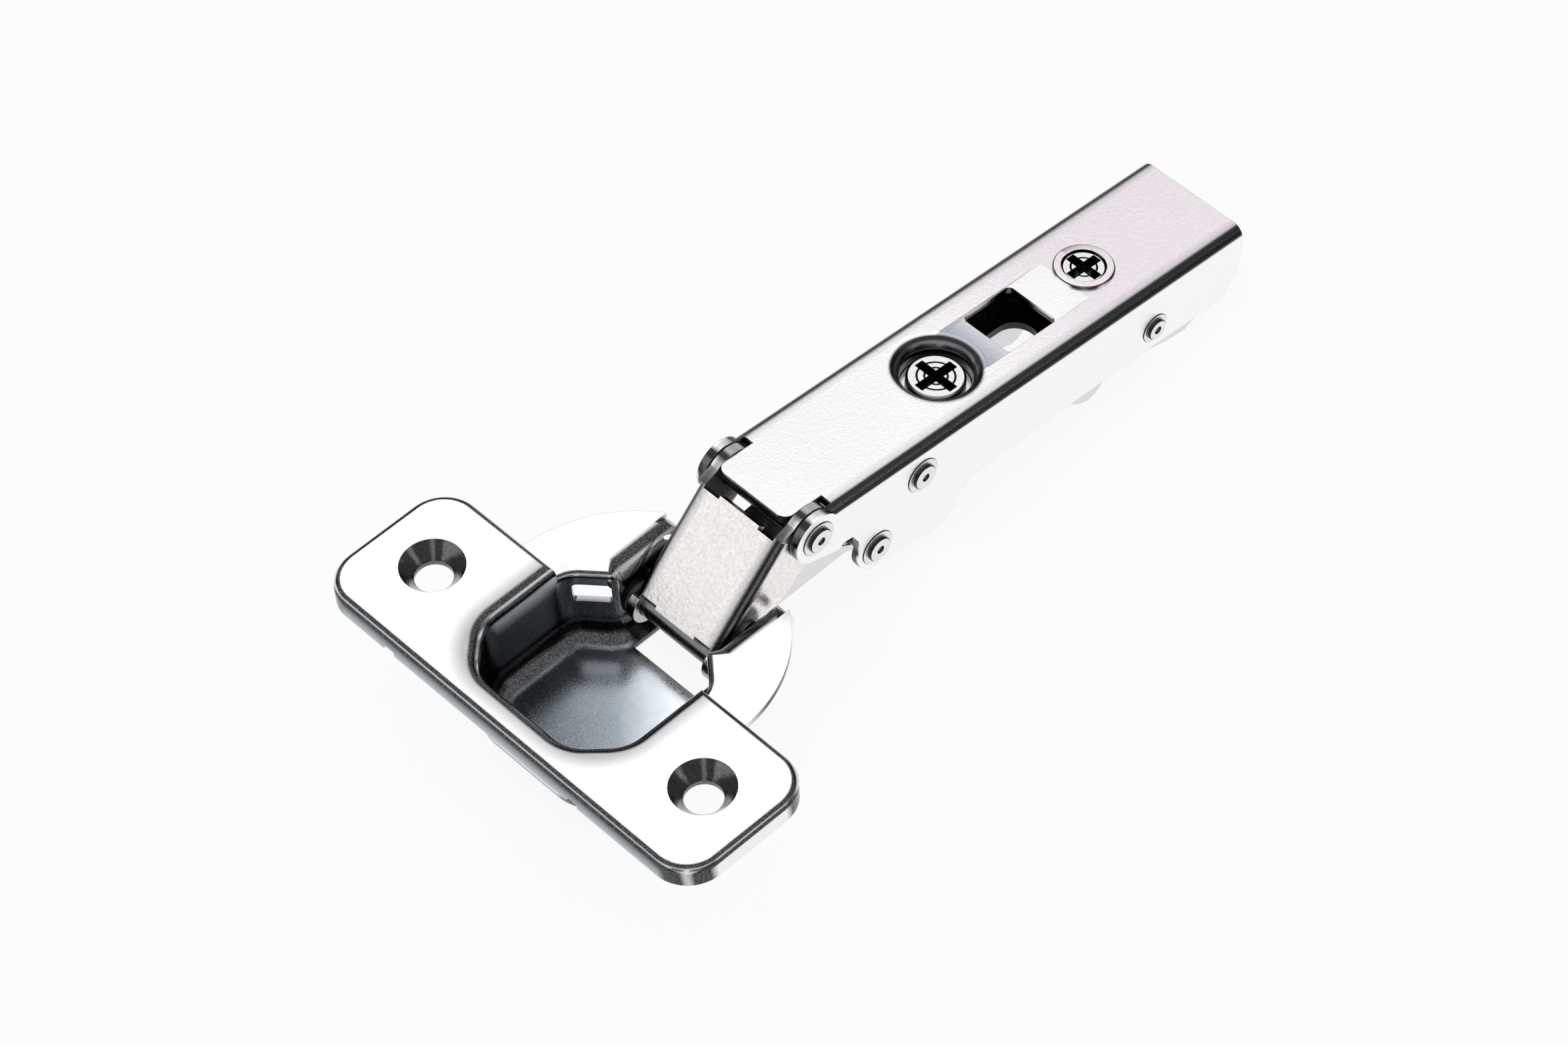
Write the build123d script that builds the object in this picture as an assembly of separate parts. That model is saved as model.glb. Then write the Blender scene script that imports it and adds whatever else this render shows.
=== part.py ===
"""Concealed cup hinge, drawn open, one STEP file per physical piece.

Frame: millimetres, +Z up. The origin is the cup axis on the door face, +X runs
from the cup towards the arm, +Z out of the door. The linkage lies in XZ planes.
"""
import os
from math import cos, radians, sin

from build123d import *

# ---------------------------------------------------------------- cup stamping
CUP_SHEET = 0.8
PLATE_TOP = 2.9           # top of the wing plate above the door face
PLATE_LENGTH = 61.84      # across the wings, along Y
PLATE_WIDTH = 20.0        # from the front edge to the step at the cup axis
PLATE_CORNER_R = 5.0
PLATE_EDGE_R = 0.95
FLANGE_R = 18.57
CUP_DEPTH = 10.7          # outside depth below the door face
CUP_FRONT = 16.0          # inside of the front wall, measured from the axis
CUP_FRONT_HALF = 7.4      # half length of the flat front wall
CUP_SIDE_START = 11.2
CUP_HALF_WIDTH = 12.0
SHOULDER_X = 1.3          # where the side walls turn in towards the throat
THROAT_X = 5.0
THROAT_HALF_WIDTH = 7.6
THROAT_END = 15.0
WALL_CORNER_R = 5.0
SHOULDER_R = 3.6
THROAT_BEND_R = 2.0
THROAT_END_R = 3.2
FLOOR_R = 2.8
PLATE_RIM_R = 1.6
FLANGE_RIM_R = 0.75
THROAT_ROLL_R = 2.7       # the flange rolls down into the throat
THROAT_ROLL = (4.4, 6.6)  # the roll grows to its full radius between these
MOUTH_START = 13.2        # from here the throat is open towards the arm
MOUTH_SILL = -6.6
MOUTH_ROLL_R = 3.0        # the flange rolls down beside the mouth
MOUTH_LIP_END = 10.2
WINDOW_START = 4.7        # window in the cup floor, below the outer cup pin
WINDOW_END = 13.4
WINDOW_HALF_WIDTH = 5.3
SLOT_TOP = -1.1           # slots in the slanted shoulder walls
SLOT_HEIGHT = 3.0
SLOT_LENGTH = 4.6
SCREW_SPACING = 45.0
SCREW_X = -9.5
SCREW_HOLE_R = 2.3
COUNTERSINK_R = 3.93
COUNTERSINK_DEPTH = 2.1
SKIRT_NOTCH = 1.8
SKIRT_NOTCH_HEIGHT = 0.7
SKIRT_NOTCH_YS = (18.5, -12.2)

# ------------------------------------------------ cup pivots as (x, z), in mm
PIVOT_C = (8.08, -5.50)   # outer link
PIVOT_D = (12.30, -3.70)  # inner link
CUP_PIN_R = 1.5
CUP_PIN_HALF = 8.9
WASHER_R = 2.1
WASHER_THICKNESS = 0.6

# -------------------------------- arm, in its own frame: s runs along the arm
# from above the cup axis, h is measured up from the roof of the channel.
OPEN_DIP = 5.69           # slope of the open arm towards the cabinet, degrees
ROOF_AT_AXIS = 11.13
ARM_SHEET = 1.1
ARM_HALF_WIDTH = 8.26
ARM_FOLD_R = 1.65
ARM_END = 93.5
TONGUE_FRONT = 19.85
TONGUE_HALF_WIDTH = 5.6
TONGUE_CORNER_R = 1.3
CORNER_SLOT_END = 25.65
PIVOT_A = (22.70, -3.08)  # outer link
PIVOT_B = (32.59, -11.66)  # inner link
SPRING_PIVOT = (39.54, -4.52)
LATCH_PIVOT = (78.76, -6.84)
EAR_R = 3.4
LOBE_R = 3.1
ARM_PIN_R = 1.6
LATCH_PIN_R = 1.2
RIVET_R = 2.35
RIVET_HEIGHT = 0.12
RIVET_FACE_R = 1.65
RIVET_FACE_HEIGHT = 0.45
LATCH_RIVET_SCALE = 0.85
DIMPLE_R = 0.55
DIMPLE_DEPTH = 0.3
WALL_BEND_R = 1.2
SIDE_SCREW_S = 49.78
DEPTH_SCREW_S = 74.48
COLLAR_BORE_R = 4.29
COLLAR_ROLL_R = 1.7
COLLAR_WALL = 0.9
COLLAR_DEPTH = 4.1
STRIP_START = 53.0
STRIP_END = 71.0
STRIP_HALF_WIDTH = 4.0
STRIP_DEPTH = 0.5
OPENING = (58.0, 65.9)
OPENING_HALF_WIDTH = 3.95
OPENING_CORNER_R = 0.8
RING_R = 3.73
RING_BORE_R = 2.75
RING_HEIGHT = 0.4

# ------------------------------------------------------------------ the links
LINK_SHEET = 1.2
LINK_HALF_WIDTH = 6.9
LINK_FOLD_R = 1.5
LINK_SLOPE = 43.6         # slope of the outer face when open, degrees
LINK_FACE = 2.7           # outer face above the cup pivot
LINK_FACE_START = 0.73    # ends of the face, along the face from the cup pivot
LINK_FACE_END = 16.2
LINK_CUP_EYE_R = 2.55
LINK_END_STEP = 0.45      # the face ends step back beside the folds
LINK_END_FLAT = 3.2
LINK_CLEARANCE = 0.35     # air around the inner cup pin when the link swings
RUNNING_FIT = 0.05
INNER_HALF_WIDTH = 4.6
INNER_SHEET = 1.4
INNER_EYE_R = 2.5
INNER_PLAY = (-1.72, 1.22)  # travel of arm pin B in the slotted eye
INNER_PLAY_R = 2.1
INNER_TAIL_WALL = 0.9

# ------------------------------------------------- rail, screws and the latch
RAIL_TOP = -4.4
RAIL_SHEET = 1.0
RAIL_HALF_WIDTH = 6.9
RAIL_START = 44.4
RAIL_FLANGE_END = 71.9
RAIL_END = 80.0
RAIL_TAIL_HALF_WIDTH = 5.3
RAIL_BOTTOM = -9.2
RAIL_TRAVEL = 1.3
RAIL_WINDOW_R = 2.75
RAIL_WINDOW_S = 62.6
HOOK_PIN = (46.8, -7.7)
HOOK_PIN_R = 1.2
SIDE_HEAD_R = 4.22
SIDE_HEAD_BOTTOM = -3.9
SIDE_HEAD_STEP = -2.8
SIDE_HEAD_TOP = -1.4
SIDE_HEAD_TOP_R = 3.6
SIDE_SHANK_R = 2.0
SCREW_BOTTOM = -6.2
DEPTH_HEAD_R = 2.67
DEPTH_HEAD_TOP = 0.15
GROOVE = (-1.8, -1.25)
GROOVE_R = 2.1
CLIP_R = 3.6
DEPTH_HEAD_BOTTOM = -3.9
ECCENTRIC_R = 1.9
ECCENTRICITY = 1.5
CAM_PLAY = 0.15           # the slot also takes up the sine of the eccentric
CROSS_WIDTH = 1.25
SIDE_CROSS = (2.9, 1.6)   # reach and depth of the driver recess
DEPTH_CROSS = (2.35, 1.2)
SIDE_RINGS = (1.5, 2.4)
DEPTH_RINGS = (1.7,)
HEAD_RING_WIDTH = 0.25
HEAD_RING_DEPTH = 0.15
LATCH_HALF_WIDTH = 6.8
LATCH_SHEET = 1.0
LATCH_EYE_R = 2.3

# ----------------------------------------------------------------- the springs
WIRE_R = 0.55
COIL_R = 2.75
COIL_TURNS = 3.125        # the two legs leave at 45 degrees to each other
COIL_PITCH = 1.3
REAR_LEG = 4.2
FRONT_LEG = 6.2
SLEEVE_R = 2.1
SLEEVE_HALF = 4.4
LEAF = 0.4
LEAF_HALF_WIDTH = 2.4

ARM_FRAME = Location((0, 0, ROOF_AT_AXIS), (0, OPEN_DIP, 0))
LINK_FRAME = Location((PIVOT_C[0], 0, PIVOT_C[1]), (0, -LINK_SLOPE, 0))
LOW = (Align.MIN, Align.MIN, Align.MIN)


def save(shape, node):
    """Write one piece under its node name."""
    export_step(shape, f"parts/{node}.step")


def block(xs, ys, zs):
    """Box between pairs of coordinates."""
    sizes = [high - low for low, high in (xs, ys, zs)]
    return Pos(xs[0], ys[0], zs[0]) * Box(*sizes, align=LOW)


def post(radius, x, zs, y=0):
    """Upright cylinder between two heights."""
    return Pos(x, y, zs[0]) * extrude(Circle(radius), zs[1] - zs[0])


def across(profile, ys):
    """Side profile, drawn in x and z, made solid between two y values."""
    return Pos(0, ys[1], 0) * extrude(Plane.XZ * profile, ys[1] - ys[0])


def spot(radius, point):
    """Round spot of a side profile."""
    return Pos(*point) * Circle(radius)


def outline(*points):
    """Closed straight-edged profile."""
    return make_face(Polyline(*points, close=True))


def strip(radius, start, end):
    """Profile swept by a round spot from one point to another."""
    dx, dz = end[0] - start[0], end[1] - start[1]
    length = (dx * dx + dz * dz) ** 0.5
    side = (-dz / length * radius, dx / length * radius)
    corners = [
        (start[0] + side[0], start[1] + side[1]),
        (end[0] + side[0], end[1] + side[1]),
        (end[0] - side[0], end[1] - side[1]),
        (start[0] - side[0], start[1] - side[1]),
    ]
    return outline(*corners) + spot(radius, start) + spot(radius, end)


def both_sides(shape):
    """A shape together with its mirror image across the hinge's mid plane."""
    return shape + mirror(shape, Plane.XZ)


def round_corners(profile, x, radius):
    """Round the corners of a flat profile that lie at one x."""
    corners = profile.vertices().filter_by(lambda v: abs(v.X - x) < 0.01)
    return fillet(corners, radius)


def arm_to_hinge(point):
    """Arm point (s, h) as (x, z) of the open hinge."""
    dip = radians(OPEN_DIP)
    s, h = point
    return (s * cos(dip) + h * sin(dip), ROOF_AT_AXIS - s * sin(dip) + h * cos(dip))


def hinge_to_link(point):
    """Hinge point (x, z) along and above the face of the open outer link."""
    slope = radians(LINK_SLOPE)
    x = point[0] - PIVOT_C[0]
    z = point[1] - PIVOT_C[1]
    return (x * cos(slope) + z * sin(slope), z * cos(slope) - x * sin(slope))


# ------------------------------------------------------------------------ cup
def cavity_plan():
    """Inside of the cup and its throat, seen from above."""
    half = [
        (-CUP_FRONT, CUP_FRONT_HALF),
        (-CUP_SIDE_START, CUP_HALF_WIDTH),
        (SHOULDER_X, CUP_HALF_WIDTH),
        (THROAT_X, THROAT_HALF_WIDTH),
        (THROAT_END, THROAT_HALF_WIDTH),
    ]
    other_half = [(x, -y) for x, y in reversed(half)]
    plan = outline(*half, *other_half)
    plan = round_corners(plan, -CUP_FRONT, WALL_CORNER_R)
    plan = round_corners(plan, -CUP_SIDE_START, WALL_CORNER_R)
    plan = round_corners(plan, SHOULDER_X, SHOULDER_R)
    plan = round_corners(plan, THROAT_X, THROAT_BEND_R)
    return round_corners(plan, THROAT_END, THROAT_END_R)


def bowl(plan, bottom, top, floor_radius):
    """Straight-walled bowl shape with a rounded floor edge."""
    body = Pos(0, 0, bottom) * extrude(plan, top - bottom)
    floor_edges = body.faces().sort_by(Axis.Z)[0].edges()
    return fillet(floor_edges, floor_radius)


def pierced_sheet(cavity, top, rim_radius):
    """Sheet from the door face up to one level, with the rolled rim of the cup in it."""
    reach = (-PLATE_LENGTH, PLATE_LENGTH)
    sheet = block(reach, reach, (0, top)) - cavity
    rim = sheet.faces().sort_by(Axis.Z)[-1].inner_wires()[0].edges()
    return fillet(rim, rim_radius)


def wing_half(cup_outside, cavity):
    """Front of the stamping: wing plate with its skirt and the upper cup walls."""
    wing = RectangleRounded(PLATE_WIDTH, PLATE_LENGTH, PLATE_CORNER_R)
    wing = Pos(-PLATE_WIDTH / 2, 0, 0) * wing
    plate = extrude(wing, PLATE_TOP)
    plate = fillet(plate.faces().sort_by(Axis.Z)[-1].edges(), PLATE_EDGE_R)
    hollow = extrude(offset(wing, -CUP_SHEET), PLATE_TOP - CUP_SHEET)
    return plate & pierced_sheet(cavity, PLATE_TOP, PLATE_RIM_R) - (hollow - cup_outside)


def flange_half(cavity):
    """Rear of the stamping: the thin round flange."""
    flange = extrude(Circle(FLANGE_R), CUP_SHEET)
    flange &= block((0, FLANGE_R), (-FLANGE_R, FLANGE_R), (0, CUP_SHEET))
    return flange & pierced_sheet(cavity, CUP_SHEET, FLANGE_RIM_R)


def mouth_lip():
    """Rolled-down piece of flange beside the open end of the throat."""
    centre = (MOUTH_START, CUP_SHEET - MOUTH_ROLL_R)
    ring = spot(MOUTH_ROLL_R, centre) - spot(MOUTH_ROLL_R - CUP_SHEET, centre)
    corner = Pos(*centre) * Rectangle(MOUTH_ROLL_R, MOUTH_ROLL_R, align=(Align.MIN, Align.MIN))
    return across(ring & corner, (THROAT_HALF_WIDTH, MOUTH_LIP_END))


def roll_corner(x, radius):
    """Corner that a roll takes off the left throat edge, at one place along X."""
    low = (THROAT_HALF_WIDTH - 1, CUP_SHEET - radius)
    corner = Pos(*low) * Rectangle(1 + radius, 1 + radius, align=(Align.MIN, Align.MIN))
    corner -= spot(radius, (THROAT_HALF_WIDTH + radius, CUP_SHEET - radius))
    return Plane((x, 0, 0), (0, 1, 0), (1, 0, 0)) * corner


def throat_roll():
    """Cut that rolls the flange down into the left throat wall, and the metal under it."""
    start, full = THROAT_ROLL
    growing = loft([roll_corner(start, FLANGE_RIM_R), roll_corner(full, THROAT_ROLL_R)])
    steady = extrude(roll_corner(full, THROAT_ROLL_R), FLANGE_R - full)
    wall = THROAT_HALF_WIDTH + CUP_SHEET / 2
    width = THROAT_ROLL_R - CUP_SHEET / 2
    gusset = outline((wall, -width), (wall + width, 0), (wall, 0))
    gusset = Plane((start, 0, 0), (0, 1, 0), (1, 0, 0)) * gusset
    return growing + steady, extrude(gusset, MOUTH_START - start)


def shoulder_slot():
    """Punch for the slot in one slanted shoulder wall."""
    centre_x = (SHOULDER_X + THROAT_X) / 2
    centre_y = (CUP_HALF_WIDTH + THROAT_HALF_WIDTH) / 2
    run = THROAT_X - SHOULDER_X
    drop = CUP_HALF_WIDTH - THROAT_HALF_WIDTH
    wall = Plane((centre_x, centre_y, SLOT_TOP - SLOT_HEIGHT / 2), (run, -drop, 0), (drop, run, 0))
    hole = RectangleRounded(SLOT_LENGTH, SLOT_HEIGHT, CUP_SHEET / 2)
    return extrude(wall * hole, 2 * CUP_SHEET, both=True)


def screw_dimple(y):
    """Sheet pressed down around one countersunk screw hole, and the punch for it."""
    narrow = SCREW_HOLE_R + CUP_SHEET
    wide = COUNTERSINK_R + CUP_SHEET
    height = COUNTERSINK_DEPTH + CUP_SHEET / 2
    middle = PLATE_TOP - height / 2 - CUP_SHEET / 2
    metal = Pos(SCREW_X, y, middle) * Cone(narrow, wide, height - CUP_SHEET / 2)
    sink = Pos(SCREW_X, y, PLATE_TOP - COUNTERSINK_DEPTH / 2)
    punch = sink * Cone(SCREW_HOLE_R, COUNTERSINK_R, COUNTERSINK_DEPTH)
    return metal, punch + post(SCREW_HOLE_R, SCREW_X, (0, PLATE_TOP), y)


def make_cup():
    """Drawn cup: wing plate, flange, cavity, throat, window and screw holes."""
    plan = cavity_plan()
    outside = bowl(offset(plan, CUP_SHEET), -CUP_DEPTH, PLATE_TOP, FLOOR_R + CUP_SHEET - 0.1)
    cavity = bowl(plan, CUP_SHEET - CUP_DEPTH, PLATE_TOP, FLOOR_R)
    drawn = outside & block((-FLANGE_R, FLANGE_R), (-FLANGE_R, FLANGE_R), (-CUP_DEPTH, 0))
    cup = wing_half(outside, cavity) + flange_half(cavity) + (drawn - cavity)

    mouth = (MOUTH_START, FLANGE_R)
    cup -= block(mouth, (-THROAT_HALF_WIDTH, THROAT_HALF_WIDTH), (MOUTH_SILL, PLATE_TOP))
    cup -= both_sides(block(mouth, (THROAT_HALF_WIDTH, MOUTH_LIP_END), (0, CUP_SHEET)))
    roll, gusset = throat_roll()
    cup += both_sides(mouth_lip() + gusset)
    cup -= both_sides(roll)

    window = (-WINDOW_HALF_WIDTH, WINDOW_HALF_WIDTH)
    cup -= block((WINDOW_START, WINDOW_END), window, (-CUP_DEPTH, 2 * CUP_SHEET - CUP_DEPTH))
    cup -= both_sides(shoulder_slot())
    for y in (-SCREW_SPACING / 2, SCREW_SPACING / 2):
        metal, punch = screw_dimple(y)
        cup = cup + metal - punch
    for y in SKIRT_NOTCH_YS:
        notch = (y - SKIRT_NOTCH / 2, y + SKIRT_NOTCH / 2)
        cup -= block((-PLATE_WIDTH, CUP_SHEET - PLATE_WIDTH), notch, (0, SKIRT_NOTCH_HEIGHT))
    for pivot in (PIVOT_C, PIVOT_D):
        cup -= across(spot(CUP_PIN_R, pivot), (-CUP_PIN_HALF, CUP_PIN_HALF))
    return cup


def make_cup_pin(pivot):
    """Plain pin pressed into both throat walls."""
    pin = across(spot(CUP_PIN_R, pivot), (-CUP_PIN_HALF, CUP_PIN_HALF))
    return chamfer(pin.edges().filter_by(GeomType.CIRCLE), 0.2)


def make_link_washer():
    """Nylon washer between the outer link and the left throat wall."""
    ring = spot(WASHER_R, PIVOT_C) - spot(CUP_PIN_R, PIVOT_C)
    return across(ring, (THROAT_HALF_WIDTH - WASHER_THICKNESS, THROAT_HALF_WIDTH))


# ---------------------------------------------------------------------- links
def swept_by_inner_pin():
    """Room that the inner cup pin needs beside the swinging outer link."""
    pin_x, pin_z = hinge_to_link(PIVOT_D)
    radius = (pin_x * pin_x + pin_z * pin_z) ** 0.5
    reach = CUP_PIN_R + LINK_CLEARANCE
    ring = spot(radius + reach, (0, 0)) - spot(radius - reach, (0, 0))
    far = 4 * radius
    towards_pin = (far * pin_x / radius, far * pin_z / radius)
    wedge = outline((0, 0), towards_pin, (far, -far), (-far, -far))
    return (ring & wedge) + spot(reach, (pin_x, pin_z))


def make_outer_link():
    """Folded U link: flat outer face and two ears with a relief for the inner pin."""
    arm_x, arm_z = hinge_to_link(arm_to_hinge(PIVOT_A))
    ears = outline(
        (LINK_FACE_START, LINK_FACE),
        (LINK_FACE_END, LINK_FACE),
        (arm_x, arm_z + EAR_R),
        (arm_x - EAR_R / 3, arm_z - EAR_R),
        (0, -LINK_CUP_EYE_R),
        (-LINK_CUP_EYE_R, 0),
    )
    face = (LINK_FACE_START, LINK_FACE_END)
    half = LINK_HALF_WIDTH
    sheet = block(face, (-half, half), (0, LINK_FACE))
    folds = sheet.faces().sort_by(Axis.Z)[-1].edges().filter_by(Axis.X)
    sheet = fillet(folds, LINK_FOLD_R)
    below = block((-LINK_FACE_END, 2 * LINK_FACE_END), (-half, half), (-LINK_FACE_END, LINK_FACE))
    ends = below - block(face, (-half, half), (0, LINK_FACE))
    profile = ears + spot(LINK_CUP_EYE_R, (0, 0)) + spot(EAR_R, (arm_x, arm_z))
    profile -= swept_by_inner_pin()
    link = across(profile, (-half, half)) & (sheet + ends)

    inside = (LINK_SHEET - half, half - LINK_SHEET)
    whole = (-LINK_FACE_END, 2 * LINK_FACE_END)
    link -= block(whole, inside, (-LINK_FACE_END, LINK_FACE - LINK_SHEET))
    link -= block((whole[0], LINK_FACE_START), inside, (0, LINK_FACE))
    link -= block((LINK_FACE_END, whole[1]), inside, (0, LINK_FACE))
    beside = (LINK_END_FLAT, half - LINK_SHEET)
    for end in (LINK_FACE_START, LINK_FACE_END - LINK_END_STEP):
        step = block((end, end + LINK_END_STEP), beside, (0, LINK_FACE))
        link -= both_sides(step)
    link -= across(spot(CUP_PIN_R + RUNNING_FIT, (0, 0)), (-half, half))
    link -= across(spot(ARM_PIN_R + RUNNING_FIT, (arm_x, arm_z)), (-half, half))
    return LINK_FRAME * link


def make_inner_link():
    """Folded lever below the outer link, with a slotted eye at the opened pivot."""
    arm_x, arm_z = arm_to_hinge(PIVOT_B)
    play_end = (arm_x + INNER_PLAY[0], arm_z + INNER_PLAY[1])
    tail_r = INNER_PLAY_R + INNER_TAIL_WALL
    cup_x, cup_z = PIVOT_D
    cheek = outline(
        (cup_x, cup_z + INNER_EYE_R),
        (play_end[0] - 1.2, play_end[1] + tail_r - 0.25),
        (arm_x - 1.7, arm_z - tail_r + 0.5),
        (cup_x, cup_z - INNER_EYE_R),
    )
    cheek += spot(INNER_EYE_R, PIVOT_D) + strip(tail_r, (arm_x, arm_z), play_end)
    half = INNER_HALF_WIDTH
    lever = across(cheek, (-half, half))
    inside = (INNER_SHEET - half, half - INNER_SHEET)
    web_start = cup_x + INNER_EYE_R + INNER_SHEET
    web_end = play_end[0] - tail_r
    slope_rise = INNER_PLAY[1] / 2
    channel = outline(
        (web_start - INNER_EYE_R * 3, cup_z - 2 * INNER_EYE_R),
        (web_start - INNER_EYE_R * 3, cup_z + 2 * INNER_EYE_R),
        (web_start, cup_z + 2 * INNER_EYE_R),
        (web_start, cup_z + INNER_EYE_R - INNER_SHEET),
        (web_end, cup_z + INNER_EYE_R - INNER_SHEET + slope_rise),
        (web_end, cup_z + 3 * INNER_EYE_R),
        (arm_x + 2 * tail_r, cup_z + 3 * INNER_EYE_R),
        (arm_x + 2 * tail_r, cup_z - 2 * INNER_EYE_R),
    )
    lever -= across(channel, inside)
    lever -= across(spot(CUP_PIN_R + RUNNING_FIT, PIVOT_D), (-half, half))
    return lever - across(strip(INNER_PLAY_R, (arm_x, arm_z), play_end), (-half, half))


# ------------------------------------------------------------------------ arm
def arm_side_profile():
    """Side view of the arm walls, without the round ears."""
    return outline(
        (PIVOT_A[0], 0),
        (ARM_END, 0),
        (ARM_END, -3.0),
        (93.0, -7.1),
        (91.0, -10.1),
        (77.0, -9.85),
        (48.0, -10.6),
        (46.0, -12.0),
        (44.5, -14.9),
        (42.4, -15.6),
        (35.0, -14.6),
        (PIVOT_B[0], PIVOT_B[1] - LOBE_R),
        (30.2, -13.6),
        (29.4, -8.4),
        (28.4, -6.9),
        (27.0, -6.8),
        (26.2, -7.5),
        (PIVOT_A[0] - 1.0, PIVOT_A[1] - EAR_R + 0.15),
    )


def make_arm():
    """Folded channel of the arm, modelled along its own axis."""
    half = ARM_HALF_WIDTH
    inside = (ARM_SHEET - half, half - ARM_SHEET)
    length = (0, ARM_END)
    channel = block(length, (-half, half), (-2 * half, 0))
    folds = channel.faces().sort_by(Axis.Z)[-1].edges().filter_by(Axis.X)
    channel = fillet(folds, ARM_FOLD_R)
    walls = arm_side_profile() + spot(LOBE_R, PIVOT_B)
    arm = channel & across(walls, (-half, half))
    arm += both_sides(across(spot(EAR_R, PIVOT_A), (half - ARM_SHEET, half)))
    arm -= block(length, inside, (-2 * half, -ARM_SHEET))
    arm -= block((0, CORNER_SLOT_END), inside, (-ARM_SHEET, EAR_R))
    tongue_length = CORNER_SLOT_END + 1 - TONGUE_FRONT
    tongue = RectangleRounded(tongue_length, 2 * TONGUE_HALF_WIDTH, TONGUE_CORNER_R)
    tongue = Pos(TONGUE_FRONT + tongue_length / 2, 0, -ARM_SHEET) * tongue
    arm += extrude(tongue, ARM_SHEET)

    arm += post(COLLAR_BORE_R + COLLAR_WALL, SIDE_SCREW_S, (-COLLAR_DEPTH, -ARM_SHEET / 2))
    arm -= post(COLLAR_BORE_R, SIDE_SCREW_S, (-COLLAR_DEPTH, 0))
    collar = arm.edges().filter_by(GeomType.CIRCLE)
    mouth = collar.filter_by(lambda e: abs(e.radius - COLLAR_BORE_R) < 0.01)
    arm = fillet(mouth.sort_by(Axis.Z)[-1:], COLLAR_ROLL_R)
    strip_cut = outline((STRIP_START, -STRIP_DEPTH), (STRIP_END, 0), (STRIP_START, 0))
    strip_cut = across(strip_cut, (-STRIP_HALF_WIDTH, STRIP_HALF_WIDTH))
    arm -= strip_cut - post(COLLAR_BORE_R + COLLAR_ROLL_R, SIDE_SCREW_S, (-COLLAR_DEPTH, 0))
    opening_length = OPENING[1] - OPENING[0]
    opening = RectangleRounded(opening_length, 2 * OPENING_HALF_WIDTH, OPENING_CORNER_R)
    opening = Pos(OPENING[0] + opening_length / 2, 0, -ARM_SHEET) * opening
    arm -= extrude(opening, ARM_SHEET)
    ring = post(RING_R, DEPTH_SCREW_S, (-ARM_SHEET / 2, RING_HEIGHT))
    arm += fillet(ring.edges().sort_by(Axis.Z)[-1:], RING_HEIGHT / 2)
    arm -= post(RING_BORE_R, DEPTH_SCREW_S, (-ARM_SHEET, RING_HEIGHT))

    for pivot in (PIVOT_A, PIVOT_B, SPRING_PIVOT):
        arm -= across(spot(ARM_PIN_R, pivot), (-half, half))
    arm -= across(spot(LATCH_PIN_R, LATCH_PIVOT), (-half, half))
    return ARM_FRAME * arm


def make_rivet(pivot, shank_r, scale=1):
    """Pin riveted over on the outside of both arm walls, with dimpled ends."""
    half = ARM_HALF_WIDTH
    end = half + RIVET_HEIGHT + RIVET_FACE_HEIGHT
    head = across(spot(RIVET_R * scale, pivot), (half, half + RIVET_HEIGHT))
    head = fillet(head.edges().sort_by(Axis.Y)[-1:], RIVET_HEIGHT / 2)
    face = across(spot(RIVET_FACE_R * scale, pivot), (half, end))
    dimple = across(spot(DIMPLE_R, pivot), (end - DIMPLE_DEPTH, end))
    shank = across(spot(shank_r, pivot), (-half, half))
    return ARM_FRAME * (shank + both_sides(head + face - dimple))


def make_spring_sleeve():
    """Nylon sleeve on the spring pin, inside the coil."""
    ring = spot(SLEEVE_R, SPRING_PIVOT) - spot(ARM_PIN_R, SPRING_PIVOT)
    return ARM_FRAME * across(ring, (-SLEEVE_HALF, SLEEVE_HALF))


def make_closing_spring():
    """Leg spring: one leg along the arm roof, the other down to the inner link."""
    coil = Helix(COIL_PITCH, COIL_PITCH * COIL_TURNS, COIL_R)
    wire = Circle(WIRE_R)
    spring = sweep(Plane(coil @ 0, z_dir=coil % 0) * wire, path=coil)
    spring += extrude(Plane(coil @ 0, z_dir=coil % 0) * wire, -REAR_LEG)
    spring += extrude(Plane(coil @ 1, z_dir=coil % 1) * wire, FRONT_LEG)
    spring = Pos(0, 0, -COIL_PITCH * COIL_TURNS / 2) * spring
    turned = Rot(90, 0, 0) * Rot(0, 0, 90) * spring
    return ARM_FRAME * Pos(SPRING_PIVOT[0], 0, SPRING_PIVOT[1]) * turned


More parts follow.
